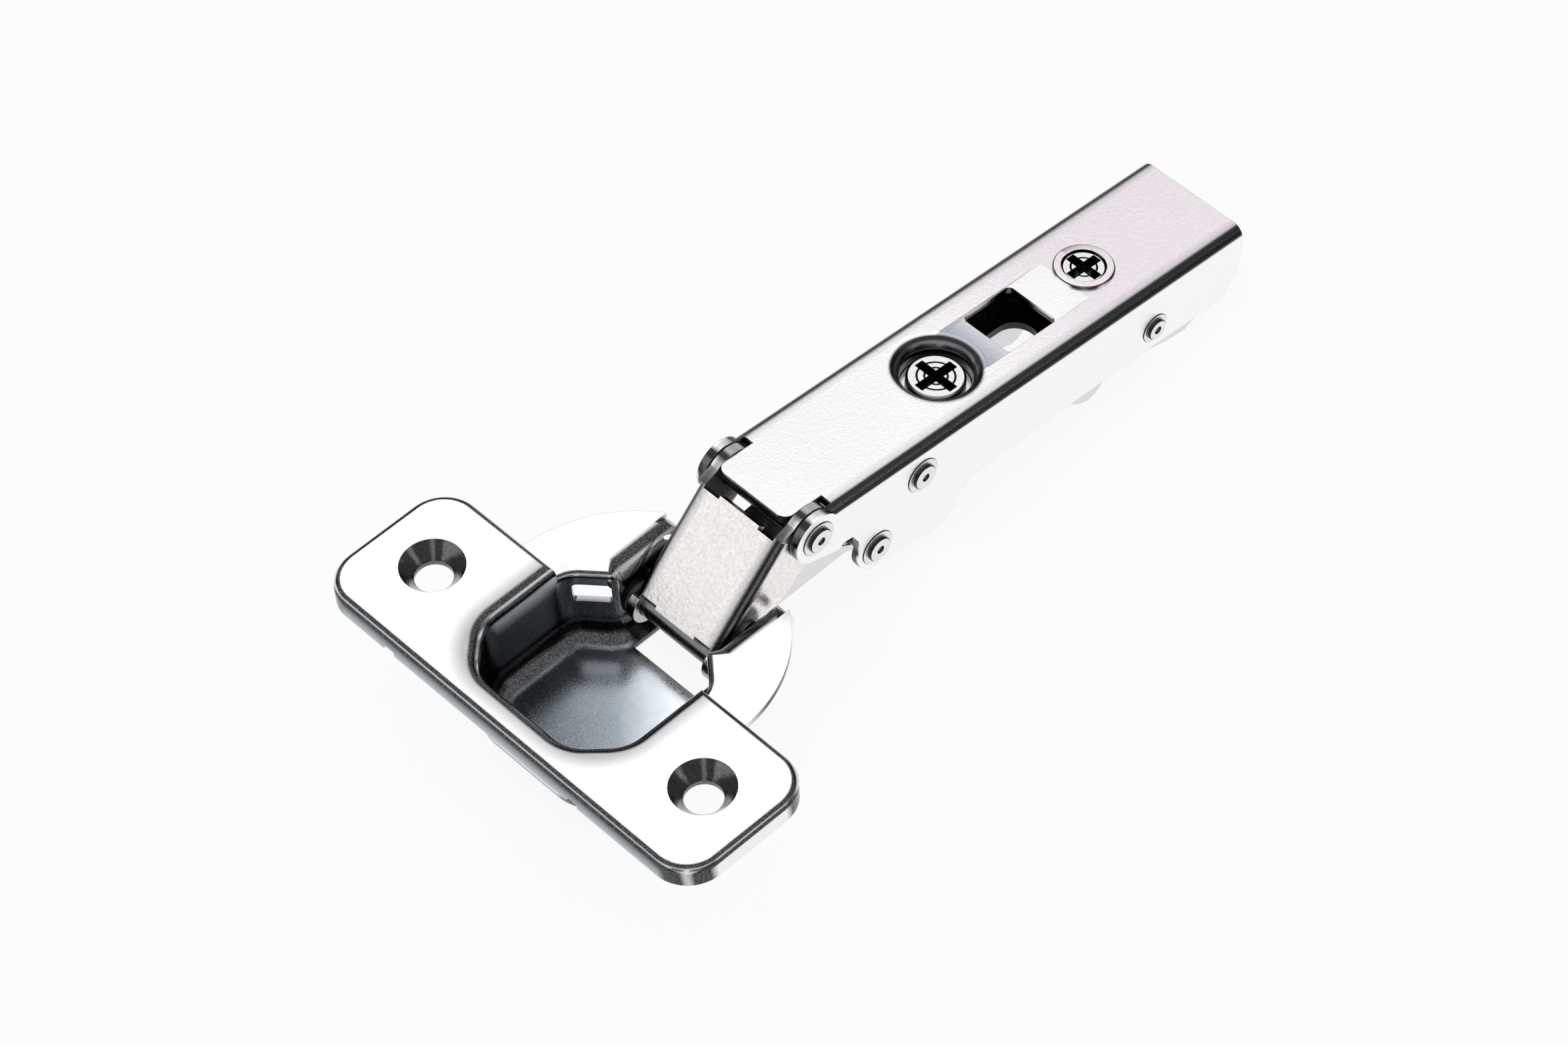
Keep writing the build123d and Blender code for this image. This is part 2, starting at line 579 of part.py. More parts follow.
# -------------------------------------------------------------- adjusting gear
def make_adjusting_rail():
    """Inner rail that slides in the arm and clips onto the mounting plate."""
    half = RAIL_HALF_WIDTH
    roof = RAIL_TOP - RAIL_SHEET
    hooks = outline(
        (RAIL_START, RAIL_TOP),
        (RAIL_FLANGE_END, RAIL_TOP),
        (RAIL_FLANGE_END, -11.6),
        (71.4, -12.6),
        (70.5, -13.4),
        (69.3, -13.7),
        (67.6, -13.2),
        (66.2, -12.2),
        (65.2, -10.6),
        (64.6, RAIL_BOTTOM),
        (RAIL_START + 1.5, RAIL_BOTTOM),
        (RAIL_START, RAIL_BOTTOM + 1.5),
    )
    rail = across(hooks, (-half, half))
    long = (RAIL_START - 1, RAIL_FLANGE_END + 1)
    rail -= block(long, (RAIL_SHEET - half, half - RAIL_SHEET), (-2 * half, roof))
    tail = (-RAIL_TAIL_HALF_WIDTH, RAIL_TAIL_HALF_WIDTH)
    rail += block((RAIL_FLANGE_END - 1, RAIL_END), tail, (roof, RAIL_TOP))

    slot_r = SIDE_SHANK_R + RUNNING_FIT
    slot = SlotCenterToCenter(2 * RAIL_TRAVEL + 2 * RUNNING_FIT, 2 * slot_r)
    rail -= Pos(SIDE_SCREW_S, 0, roof) * extrude(slot, RAIL_SHEET)
    window = SlotCenterToCenter(1.5, 2 * RAIL_WINDOW_R)
    rail -= Pos(RAIL_WINDOW_S, 0, roof) * extrude(window, RAIL_SHEET)
    cam_slot = SlotCenterToCenter(ECCENTRICITY, 2 * (ECCENTRIC_R + CAM_PLAY))
    cam_slot = Pos(DEPTH_SCREW_S, ECCENTRICITY * 0.75, roof) * Rot(0, 0, 90) * cam_slot
    rail -= extrude(cam_slot, RAIL_SHEET)
    rail -= across(spot(HOOK_PIN_R, HOOK_PIN), (-half, half))
    return ARM_FRAME * rail


def make_rail_hook_pin():
    """Cross pin of the rail that catches under the mounting plate."""
    pin = across(spot(HOOK_PIN_R, HOOK_PIN), (-RAIL_HALF_WIDTH, RAIL_HALF_WIDTH))
    return ARM_FRAME * pin


def cross_recess(top, size):
    """Cross-shaped driver recess of one reach and depth."""
    reach, depth = size
    cross = Rectangle(2 * reach, CROSS_WIDTH) + Rectangle(CROSS_WIDTH, 2 * reach)
    return Pos(0, 0, top) * extrude(cross, -depth)


def head_rings(top, radii):
    """Turned ring grooves in the top of a screw head."""
    grooves = [Circle(radius) - Circle(radius - HEAD_RING_WIDTH) for radius in radii]
    return Pos(0, 0, top) * extrude(Sketch() + grooves, -HEAD_RING_DEPTH)


def make_side_screw():
    """Side adjusting screw, its head guided in the collar of the arm."""
    screw = post(SIDE_HEAD_R, 0, (SIDE_HEAD_BOTTOM, SIDE_HEAD_STEP))
    screw += post(SIDE_HEAD_TOP_R, 0, (SIDE_HEAD_BOTTOM, SIDE_HEAD_TOP))
    screw = chamfer(screw.edges().sort_by(Axis.Z)[-1:], 0.3)
    screw += post(SIDE_SHANK_R, 0, (SCREW_BOTTOM, SIDE_HEAD_BOTTOM))
    screw -= cross_recess(SIDE_HEAD_TOP, SIDE_CROSS) + head_rings(SIDE_HEAD_TOP, SIDE_RINGS)
    return ARM_FRAME * Pos(SIDE_SCREW_S, 0, 0) * screw


def make_depth_screw():
    """Depth adjusting screw: head in the arm, eccentric in the rail."""
    screw = post(DEPTH_HEAD_R, 0, (DEPTH_HEAD_BOTTOM, DEPTH_HEAD_TOP))
    screw = chamfer(screw.edges().sort_by(Axis.Z)[-1:], 0.2)
    screw -= post(DEPTH_HEAD_R, 0, GROOVE) - post(GROOVE_R, 0, GROOVE)
    screw += post(ECCENTRIC_R, 0, (SCREW_BOTTOM, DEPTH_HEAD_BOTTOM), ECCENTRICITY)
    screw -= cross_recess(DEPTH_HEAD_TOP, DEPTH_CROSS) + head_rings(DEPTH_HEAD_TOP, DEPTH_RINGS)
    return ARM_FRAME * Pos(DEPTH_SCREW_S, 0, 0) * screw


def make_depth_screw_clip():
    """Retaining washer in the groove of the depth screw, under the arm roof."""
    low, high = GROOVE
    middle = (low + high) / 2
    ring = post(CLIP_R, 0, (low, middle)) - post(GROOVE_R, 0, (low, middle))
    return ARM_FRAME * Pos(DEPTH_SCREW_S, 0, 0) * ring


def make_clip_latch():
    """Release latch below the rear end of the arm."""
    half = LATCH_HALF_WIDTH
    body = outline(
        (76.5, -7.0),
        (76.5, -9.8),
        (78.6, -11.9),
        (82.6, -12.9),
        (86.2, -13.2),
        (88.3, -12.0),
        (90.4, -9.6),
        (91.2, -7.9),
        (85.0, -7.0),
        (80.4, -5.4),
    )
    latch = across(body + spot(LATCH_EYE_R, LATCH_PIVOT), (-half, half))
    inside = outline(
        (75.0, -9.2),
        (77.2, -9.3),
        (79.1, -10.9),
        (82.8, -11.9),
        (85.9, -12.1),
        (87.6, -11.1),
        (89.6, -8.9),
        (92.0, -8.2),
        (92.0, 0),
        (75.0, 0),
    )
    latch -= across(inside, (LATCH_SHEET - half, half - LATCH_SHEET))
    return ARM_FRAME * (latch - across(spot(LATCH_PIN_R + RUNNING_FIT, LATCH_PIVOT), (-half, half)))


def make_latch_spring():
    """Leaf spring from the arm roof down to the latch."""
    under = -ARM_SHEET
    leaf = outline(
        (82.0, under),
        (91.6, under),
        (92.4, under - 0.8),
        (92.4, under - 2.0),
        (87.0, -8.2),
        (86.7, -8.2 + LEAF),
        (92.0, under - 2.0),
        (92.0, under - 1.0),
        (91.4, under - LEAF),
        (82.0, under - LEAF),
    )
    return ARM_FRAME * across(leaf, (-LEAF_HALF_WIDTH, LEAF_HALF_WIDTH))


os.makedirs("parts", exist_ok=True)
save(make_cup(), "cup")
save(make_cup_pin(PIVOT_C), "cup_pin_outer")
save(make_cup_pin(PIVOT_D), "cup_pin_inner")
washer = make_link_washer()
save(washer, "link_washer_left")
save(mirror(washer, Plane.XZ), "link_washer_right")
save(make_outer_link(), "outer_link")
save(make_inner_link(), "inner_link")
save(make_arm(), "arm")
save(make_rivet(PIVOT_A, ARM_PIN_R), "arm_pin_outer")
save(make_rivet(PIVOT_B, ARM_PIN_R), "arm_pin_inner")
save(make_rivet(SPRING_PIVOT, ARM_PIN_R), "spring_pin")
save(make_rivet(LATCH_PIVOT, LATCH_PIN_R, LATCH_RIVET_SCALE), "latch_pin")
save(make_spring_sleeve(), "spring_sleeve")
save(make_closing_spring(), "closing_spring")
save(make_adjusting_rail(), "adjusting_rail")
save(make_rail_hook_pin(), "rail_hook_pin")
save(make_side_screw(), "side_screw")
save(make_depth_screw(), "depth_screw")
save(make_depth_screw_clip(), "depth_screw_clip")
save(make_clip_latch(), "clip_latch")
save(make_latch_spring(), "latch_spring")
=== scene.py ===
# %% [markdown]
# # A concealed cup hinge
# This lesson dresses a finished hinge model. The solids come in as a fixed
# frame, so every piece is already in its place. What is left is what the eye
# judges: polished folds, pebbled faces, riveted pins, a wound spring, light.

# %% The frame
from math import acos, cos, degrees, hypot, pi, radians, sin

import bmesh
import bpy
from mathutils import Matrix, Vector


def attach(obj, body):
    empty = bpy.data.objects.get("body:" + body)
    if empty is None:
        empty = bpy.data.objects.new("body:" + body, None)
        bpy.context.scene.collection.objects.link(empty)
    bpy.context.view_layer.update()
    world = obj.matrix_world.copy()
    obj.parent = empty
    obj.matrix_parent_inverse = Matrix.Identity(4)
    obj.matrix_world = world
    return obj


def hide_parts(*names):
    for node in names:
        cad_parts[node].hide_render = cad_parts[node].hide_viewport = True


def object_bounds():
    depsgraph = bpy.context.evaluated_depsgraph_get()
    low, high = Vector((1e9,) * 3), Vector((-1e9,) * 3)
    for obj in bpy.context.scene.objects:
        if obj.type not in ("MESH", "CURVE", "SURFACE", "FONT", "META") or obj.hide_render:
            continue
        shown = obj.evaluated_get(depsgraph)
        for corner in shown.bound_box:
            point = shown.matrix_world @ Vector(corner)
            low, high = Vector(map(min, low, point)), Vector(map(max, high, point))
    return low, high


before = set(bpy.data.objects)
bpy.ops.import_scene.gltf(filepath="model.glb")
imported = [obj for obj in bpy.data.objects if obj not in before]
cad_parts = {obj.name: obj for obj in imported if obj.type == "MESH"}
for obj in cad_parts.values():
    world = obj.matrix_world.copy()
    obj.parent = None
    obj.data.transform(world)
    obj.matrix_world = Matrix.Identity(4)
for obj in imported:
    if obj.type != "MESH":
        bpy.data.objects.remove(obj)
cad_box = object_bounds()
MM = 0.001

# %% [markdown]
# ## The camera
# The hinge lies open and is seen from above the cup, across the wing plate.
# A long lens keeps the plate's edges nearly parallel. The camera is turned a
# few degrees about its own axis, so the plate runs at the angle it should.

# %% Camera
IMAGE_WIDTH = 2352
FOCAL_PIXELS = 8040.07
SENSOR_WIDTH = 36.0
EYE = Vector((-231.556, -296.075, 477.586)) * MM
RIGHT = Vector((0.71893216, -0.69364793, -0.04459936))
DOWN = Vector((-0.55796023, -0.53765349, -0.63214643))
AHEAD = Vector((0.41450806, 0.47935507, -0.77356434))

camera = bpy.data.objects.new("camera", bpy.data.cameras.new("camera"))
bpy.context.scene.collection.objects.link(camera)
camera.data.sensor_width = SENSOR_WIDTH
camera.data.lens = SENSOR_WIDTH * FOCAL_PIXELS / IMAGE_WIDTH
camera.data.clip_start = 0.01
camera.data.clip_end = 20.0
aim = Matrix((RIGHT, -DOWN, -AHEAD)).transposed().to_4x4()
camera.matrix_world = Matrix.Translation(EYE) @ aim
bpy.context.scene.camera = camera
print("lens", round(camera.data.lens, 1), "mm")

# %% [markdown]
# ## Shader maths as plain expressions
# A material's pattern is arithmetic on numbers that vary over the surface.
# This small class wraps one socket, so that `1 - mask` or `a * b` adds the
# Math node for us. Any other node comes from the one method `node`.

# %% Shader expressions
class Value:
    """One socket of a node tree, with arithmetic."""

    def __init__(self, tree, socket=None):
        self.tree = tree
        self.socket = socket

    def node(self, kind, inputs=(), out=0, stops=(), **settings):
        made = self.tree.nodes.new(kind)
        for key, value in settings.items():
            setattr(made, key, value)
        for _ in stops[2:]:
            made.color_ramp.elements.new(0.5)
        for i, (place, colour) in enumerate(stops):
            made.color_ramp.elements[i].position = place
            made.color_ramp.elements[i].color = colour
        for name, value in dict(inputs).items():
            if isinstance(value, Value):
                self.tree.links.new(value.socket, made.inputs[name])
            else:
                made.inputs[name].default_value = value
        return Value(self.tree, made.outputs[out])

    def maths(self, operation, a, b=0.0):
        return self.node("ShaderNodeMath", {0: a, 1: b}, operation=operation)

    def __add__(self, other):
        return self.maths("ADD", self, other)

    def __sub__(self, other):
        return self.maths("SUBTRACT", self, other)

    def __rsub__(self, other):
        return self.maths("SUBTRACT", other, self)

    def __mul__(self, other):
        return self.maths("MULTIPLY", self, other)

    def __truediv__(self, other):
        return self.maths("DIVIDE", self, other)

    def __rtruediv__(self, other):
        return self.maths("DIVIDE", other, self)

    def __abs__(self):
        return self.maths("ABSOLUTE", self)

    __radd__ = __add__
    __rmul__ = __mul__

    def root(self):
        return self.maths("SQRT", self)

    def at_least(self, other):
        return self.maths("MAXIMUM", self, other)

    def at_most(self, other):
        return self.maths("MINIMUM", self, other)

    def rise(self, low, high):
        """0 up to `low`, 1 from `high` on, and a straight ramp between."""
        limits = {"Value": self, "From Min": low, "From Max": high}
        return self.node("ShaderNodeMapRange", limits, clamp=True)

    def fall(self, low, high):
        """1 up to `low`, 0 from `high` on."""
        return 1.0 - self.rise(low, high)


print("operators: + - * / abs")

# %% [markdown]
# ## Materials, masks and grain
# Every material starts empty, as one shader on one output. A mask mixes two
# colours. Grain is smooth noise in Object coordinates, so it has a size in
# millimetres.

# %% Empty material, mixing and noise
def new_material(name):
    """Empty material with its shader, its output joined up."""
    made = bpy.data.materials.new(name)
    made.use_nodes = True
    tree = made.node_tree
    tree.nodes.clear()
    shader = tree.nodes.new("ShaderNodeBsdfPrincipled")
    output = tree.nodes.new("ShaderNodeOutputMaterial")
    tree.links.new(shader.outputs[0], output.inputs[0])
    return made, tree, shader


def mix_colour(mask, under, over):
    """`under` where the mask is 0, `over` where it is 1."""
    inputs = {0: mask, 6: under, 7: over}
    return mask.node("ShaderNodeMix", inputs, out=2, data_type="RGBA")


def noise(place, size, detail=2.0):
    """Smooth noise whose grains are about `size` millimetres across."""
    inputs = {"Vector": place, "Scale": 1 / (size * MM), "Detail": detail, "Roughness": 0.55}
    return place.node("ShaderNodeTexNoise", inputs)


print("materials start from one shader and one output")

# %% [markdown]
# ## Nickel plate
# The real sheet is drawn and folded, then plated. Its flat faces keep a fine
# pebbled grain and scatter light, while every fold, rim and drawn wall comes
# out of the die polished and shows its dark surroundings. That dark is also
# painted into the fold's colour as a painted reflection, with one thin painted
# highlight line where the fold is halfway round, and where asked, polished
# places get bright painted glints. Two numbers on the mesh say which is which.
# `polish` is 0 on a flat and 1 once the surface has turned 45 degrees away from
# it; `shade` is 1 in hidden places and recesses, which get painted shade. Both
# are worked out once and kept on the mesh, so nothing slides in a pose.

# %% Nickel rule
WHITE = (0.962, 0.955, 0.957, 1.0)
PAINTED_GLINT = (0.95, 0.95, 0.95, 1.0)
PAINTED_DARK = (0.035, 0.036, 0.038, 1.0)
FOLD_PAINTED_HIGHLIGHT = (0.42, 0.43, 0.45, 1.0)
HALFWAY_ROUND = (0.8, 1.0)
EDGE_ROUND = 0.1 * MM
GRAIN_DEPTH = 0.06 * MM
SPECK_SIZE, SPECK_RANGE = 0.2, (0.42, 0.72)
SPECK_ROUGHNESS, SPECK_HEIGHT = 0.06, 0.25


def nickel(name, face, fold=PAINTED_DARK, line=FOLD_PAINTED_HIGHLIGHT, painted_shade=PAINTED_DARK,
           rough=(0.33, 0.14), grain=(0.2, 0.35), painted_glints=0.0, turn=(0.1, 0.42)):
    """Plated steel. `face` and `painted_shade` are colours, or rules that give one.

    `fold` is the dark painted reflection on folds and `line` the painted highlight
    halfway round a fold; the second colour above is painted shade for hidden places.
    `rough` is for flat and for polished metal, `grain` is the pebbles' strength
    and size, `turn` is the `polish` at which a fold's painted dark starts and is
    full, and one more number sets bright painted glints on polished places.
    """
    made, tree, shader = new_material(name)
    start = Value(tree)
    place = start.node("ShaderNodeTexCoord", out="Object")
    polish = start.node("ShaderNodeAttribute", out="Fac", attribute_name="polish")
    shade = start.node("ShaderNodeAttribute", out="Fac", attribute_name="shade")
    pebbles = noise(place, grain[1], 3.0)
    glint_specks = noise(place, SPECK_SIZE, 3.0).rise(*SPECK_RANGE)
    face_colour = face(place, polish) if callable(face) else face
    painted_shade_colour = painted_shade(place, polish) if callable(painted_shade) else painted_shade
    turned = polish.rise(*turn)
    # Folds get a dark painted reflection with a painted highlight line halfway round; hidden
    # places get painted shade.
    painted_fold = mix_colour(polish.rise(*HALFWAY_ROUND), fold, line)
    colour = mix_colour(shade, mix_colour(turned, face_colour, painted_fold), painted_shade_colour)
    smooth = turned.at_least(shade)
    # Bright painted glints on polished places.
    colour = mix_colour(glint_specks * smooth * painted_glints, colour, PAINTED_GLINT)
    tree.links.new(colour.socket, shader.inputs["Base Color"])
    roughness = (1.0 - smooth) * rough[0] + smooth * rough[1] + glint_specks * SPECK_ROUGHNESS
    tree.links.new(roughness.socket, shader.inputs["Roughness"])
    shader.inputs["Metallic"].default_value = 1.0
    rounded = start.node("ShaderNodeBevel", {"Radius": EDGE_ROUND}, samples=4)
    height = pebbles * (1.0 - smooth) + glint_specks * smooth * SPECK_HEIGHT
    bump = {"Height": height, "Strength": grain[0], "Distance": GRAIN_DEPTH, "Normal": rounded}
    normal = start.node("ShaderNodeBump", bump)
    tree.links.new(normal.socket, shader.inputs["Normal"])
    return made


print("nickel rule ready, edges rounded", EDGE_ROUND / MM, "mm")

# %% [markdown]
# ## Where the plate changes
# Each stamping has its own story. Close to a long fold the flat gets a little
# painted shade, where the sheet starts to roll, and the pebbles show as fine
# pits in the colour too. Lengths in these rules are in millimetres, and a pair
# of them is where a change of tone begins and ends.

# %% Helpers for colour rules
PIT = (0.45, 0.43, 0.43, 1.0)
PIT_SIZE, PIT_RANGE = 0.4, (0.3, 0.7)
ROLL_BEFORE, ROLL_AFTER = 0.7, 0.4
WALL_BEFORE, WALL_AFTER = 0.5, 0.1


def parts_of(place):
    """The three coordinates of a place, in millimetres."""
    split = [place.node("ShaderNodeSeparateXYZ", {0: place}, out=axis) for axis in range(3)]
    return [value * (1 / MM) for value in split]


# Mask for painted shade on the flat beside a fold.
def beside_fold(across, flat_end, wall):
    """Grows to 1 where the flat ends, and is 0 again on the wall."""
    off = abs(across)
    starts = off.rise(flat_end - ROLL_BEFORE, flat_end + ROLL_AFTER)
    return starts * off.fall(wall - WALL_BEFORE, wall - WALL_AFTER)


def pebbled(place, colour, depth):
    """The same colour with the sheet's fine pebbles in it."""
    pits = noise(place, PIT_SIZE, 3.0).rise(*PIT_RANGE)
    return mix_colour(pits * depth, colour, PIT)


print("pits", PIT_SIZE, "mm across")

# %% [markdown]
# The cup's plate is white, with a soft band of painted shade outside the cup's
# mouth and a thin painted dark line round the flange. Its skirt and its front
# wall carry painted shade, darkest at the top, and the skirt's foot a bluish
# painted sheen. In the cavity the walls get painted shade, and the floor a
# painted gradient of shade and light that brightens towards the throat.

# %% Colours of the cup
MOUTH_BOX, MOUTH_ROUND = (9.5, 5.5), 6.5
MOUTH_BAND, BEFORE_THROAT, ON_PLATE = (1.3, 3.4), (-0.6, 0.2), (1.0, 2.0)
MOUTH_PAINTED_SHADE = (0.30, 0.31, 0.33, 1.0)
FLANGE_EDGE, FLANGE_SIDE, FLANGE_TOP = (17.55, 17.9), (0.1, 0.4), (0.9, 1.0)
PAINTED_EDGE_DARK = (0.2, 0.2, 0.21, 1.0)
SKIRT_HEIGHT, SKIRT_FRONT = (0.0, 2.3), (-19.9, -19.6)
SKIRT_FOOT_PAINTED_SHEEN = (0.55, 0.61, 0.66, 1.0)
WALL_HEIGHT, WALL_FRONT = (-8.0, -1.0), (-12.0, -8.0)
WALL_TOP_PAINTED_SHADE = (0.42, 0.48, 0.53, 1.0)
BELOW_SKIRT, BELOW_PLATE = (-0.1, 0.0), (-0.2, 0.0)
FLOOR_LENGTH, FLOOR_MOTTLE = (-11.0, 9.0), 2.4
FLOOR_PAINTED_SHADING = [
    (0.0, (0.09, 0.105, 0.12, 1.0)),
    (0.42, (0.24, 0.275, 0.305, 1.0)),
    (0.66, (0.55, 0.60, 0.64, 1.0)),
    (0.9, (0.95, 0.96, 0.98, 1.0)),
]
CAVITY_WALL_PAINTED_SHADE = (0.04, 0.042, 0.045, 1.0)


def cup_face(place, polish):
    """White plate, softly darker just outside the mouth of the cup."""
    x, y, z = parts_of(place)
    # Painted shade in a soft band just outside the mouth of the cup.
    beyond_x = (abs(x) - MOUTH_BOX[0]).at_least(0.0)
    beyond_y = (abs(y) - MOUTH_BOX[1]).at_least(0.0)
    away = (beyond_x * beyond_x + beyond_y * beyond_y).root() - MOUTH_ROUND
    near_mouth = away.fall(*MOUTH_BAND) * x.fall(*BEFORE_THROAT) * z.rise(*ON_PLATE)
    plate = mix_colour(near_mouth * 0.75, pebbled(place, WHITE, 0.06), MOUTH_PAINTED_SHADE)
    # A thin painted dark line round the flange.
    from_middle = (x * x + y * y).root()
    on_edge = from_middle.rise(*FLANGE_EDGE) * x.rise(*FLANGE_SIDE) * z.rise(*FLANGE_TOP)
    plate = mix_colour(on_edge * 0.75, plate, PAINTED_EDGE_DARK)
    # Skirt and front wall: painted shade, darkest at the top, and a bluish painted sheen at the
    # skirt's foot.
    skirt = mix_colour(z.rise(*SKIRT_HEIGHT), SKIRT_FOOT_PAINTED_SHEEN, PAINTED_DARK)
    wall = mix_colour(z.rise(*WALL_HEIGHT), WHITE, WALL_TOP_PAINTED_SHADE)
    front = mix_colour(z.rise(*BELOW_SKIRT), wall, skirt)
    on_wall = z.fall(*BELOW_PLATE) * x.fall(*WALL_FRONT)
    return mix_colour(x.fall(*SKIRT_FRONT) + on_wall, plate, front)


def cup_worn(place, polish):
    """Drawn cavity: dark walls, a floor that brightens towards the throat."""
    x, y, _ = parts_of(place)
    # Walls get painted shade; the floor gets a mottled painted gradient of shade and light,
    # brightest towards the throat.
    towards_throat = x * 0.8 - y * 0.6
    mottle = noise(place, 2.2) * FLOOR_MOTTLE - FLOOR_MOTTLE / 2
    tone = (towards_throat + mottle).rise(*FLOOR_LENGTH)
    painted_floor = place.node("ShaderNodeValToRGB", {0: tone}, stops=FLOOR_PAINTED_SHADING)
    return mix_colour(polish.rise(0.08, 0.5), painted_floor, CAVITY_WALL_PAINTED_SHADE)


print("floor tones:", len(FLOOR_PAINTED_SHADING))

# %% [markdown]
# The arm leans a little while the hinge is open, so its rules measure along
# the leaning roof. Its rear is a shade rosier, its sides get painted light, and
# the shallow strip beside the side screw's collar gets painted shade. Both
# sheets get painted shade beside their folds. The outer link is warmer and
# coarser.

# %% Colours of the arm and the link
DIP = radians(5.69)
FRONT_WHITE = (1.0, 0.995, 1.0, 1.0)
ROSY = (0.91, 0.845, 0.89, 1.0)
SIDE_PAINTED_LIGHT = (1.0, 1.0, 1.0, 1.0)
FOLD_PAINTED_SHADE = (0.25, 0.26, 0.28, 1.0)
STRIP_PAINTED_SHADE = (0.44, 0.465, 0.52, 1.0)
WARM = (1.0, 0.97, 0.955, 1.0)
ARM_FLAT_END, ARM_WALL, ARM_SIDE = 6.61, 8.26, (7.9, 8.15)
LINK_FLAT_END, LINK_WALL = 5.4, 6.9
FRONT_PART, REAR_PART, COARSER_PART = (30.0, 42.0), (48.0, 72.0), (20.0, 70.0)
STRIP_HALF, STRIP_START, STRIP_END = (3.85, 4.0), (51.8, 52.0), (70.0, 70.2)
STRIP_SHADE_END = (54.5, 60.0)


def arm_face(place, polish):
    """White sheet, rosier at the rear, with painted light on its sides and painted shade beside
    its folds and collar.
    """
    x, y, z = parts_of(place)
    along = x * cos(DIP) - z * sin(DIP)
    off = abs(y)
    front = mix_colour(along.rise(*FRONT_PART), WHITE, FRONT_WHITE)
    top = mix_colour(along.rise(*REAR_PART), front, ROSY)
    top = pebbled(place, top, along.rise(*COARSER_PART) * 0.12 + 0.03)
    # Painted light on the arm's sides.
    sheet = mix_colour(off.rise(*ARM_SIDE), top, SIDE_PAINTED_LIGHT)
    # Painted shade on the flat beside the arm's folds.
    sheet = mix_colour(beside_fold(y, ARM_FLAT_END, ARM_WALL) * 0.4, sheet, FOLD_PAINTED_SHADE)
    # The strip is plain white, with painted shade near the collar.
    strip = off.fall(*STRIP_HALF) * along.rise(*STRIP_START)
    sheet = mix_colour(strip * along.fall(*STRIP_END), sheet, WHITE)
    return mix_colour(strip * along.fall(*STRIP_SHADE_END), sheet, STRIP_PAINTED_SHADE)


def link_face(place, polish):
    """Warm pebbled sheet, darker beside its folds."""
    y = parts_of(place)[1]
    sheet = pebbled(place, WARM, 0.4)
    # Painted shade on the flat beside the link's folds.
    return mix_colour(beside_fold(y, LINK_FLAT_END, LINK_WALL) * 0.6, sheet, PAINTED_EDGE_DARK)


print("arm leans", round(degrees(DIP), 2), "degrees")

# %% [markdown]
# ## The finishes
# All metal here comes from the one nickel rule. The big stampings follow their
# own colour rules, and the small turned pieces are plainer. Each keeps a
# painted dark in its folds with a painted highlight line, except the spring,
# and painted shade in its hidden places, where it has any.

# %% Finishes
GREY = (0.45, 0.45, 0.46, 1.0)
SILVER = (0.84, 0.84, 0.85, 1.0)
RAIL_SILVER = (0.8, 0.79, 0.8, 1.0)
STEEL = (0.2, 0.205, 0.21, 1.0)
INSIDE_PAINTED_SHADE = (0.1, 0.1, 0.105, 1.0)
RECESS_PAINTED_SHADE = (0.02, 0.02, 0.02, 1.0)
CUP_PAINTED_HIGHLIGHT = (0.7, 0.71, 0.72, 1.0)

# Fold, line and hidden-place colours here are painted reflection, painted highlight and painted
# shade.
CUP_NICKEL = nickel("cup nickel", cup_face, line=CUP_PAINTED_HIGHLIGHT, painted_shade=cup_worn,
                    grain=(0.2, 0.35), painted_glints=0.12, turn=(0.04, 0.3))
ARM_NICKEL = nickel("arm nickel", arm_face, line=PAINTED_EDGE_DARK, painted_shade=INSIDE_PAINTED_SHADE,
                    grain=(0.5, 0.4), turn=(0.27, 0.5))
LINK_NICKEL = nickel("link nickel", link_face, painted_shade=INSIDE_PAINTED_SHADE, rough=(0.3, 0.14),
                     grain=(0.8, 0.42), turn=(0.3, 0.6))
RIVET_NICKEL = nickel("rivet nickel", SILVER, line=PAINTED_DARK, rough=(0.3, 0.2),
                      grain=(0.9, 0.3))
SCREW_NICKEL = nickel("screw nickel", SILVER, line=GREY, painted_shade=RECESS_PAINTED_SHADE, rough=(0.22, 0.16))
RAIL_NICKEL = nickel("rail nickel", RAIL_SILVER, line=GREY)
# On the pins the darker steel in the folds is painted reflection.
PIN_STEEL = nickel("pin steel", GREY, fold=STEEL, line=STEEL, rough=(0.3, 0.2))
SPRING_STEEL = nickel("spring steel", STEEL, fold=STEEL, line=STEEL, rough=(0.35, 0.28))
print("finishes:", len(bpy.data.materials))

# %% [markdown]
# ## Nylon
# The washers and the sleeve in the spring are dark nylon: smooth, soft-edged
# and slightly waxy, so that they bear dry on the polished pins.

# %% Nylon material
NYLON_DARK = (0.10, 0.10, 0.105, 1.0)
NYLON_PALE = (0.16, 0.16, 0.165, 1.0)
MOTTLE_SCALE = 900.0
NYLON_ROUGHNESS, NYLON_PATCHES = 0.28, 0.08

NYLON, nylon_tree, nylon_shader = new_material("dark nylon")
place = Value(nylon_tree).node("ShaderNodeTexCoord", out="Object")
mottle = place.node("ShaderNodeTexNoise", {"Vector": place, "Scale": MOTTLE_SCALE})
mottle = mottle.rise(0.3, 0.7)
colour = mix_colour(mottle, NYLON_DARK, NYLON_PALE)
roughness = mottle * NYLON_PATCHES + NYLON_ROUGHNESS
nylon_tree.links.new(colour.socket, nylon_shader.inputs["Base Color"])
nylon_tree.links.new(roughness.socket, nylon_shader.inputs["Roughness"])
print("nylon ready")

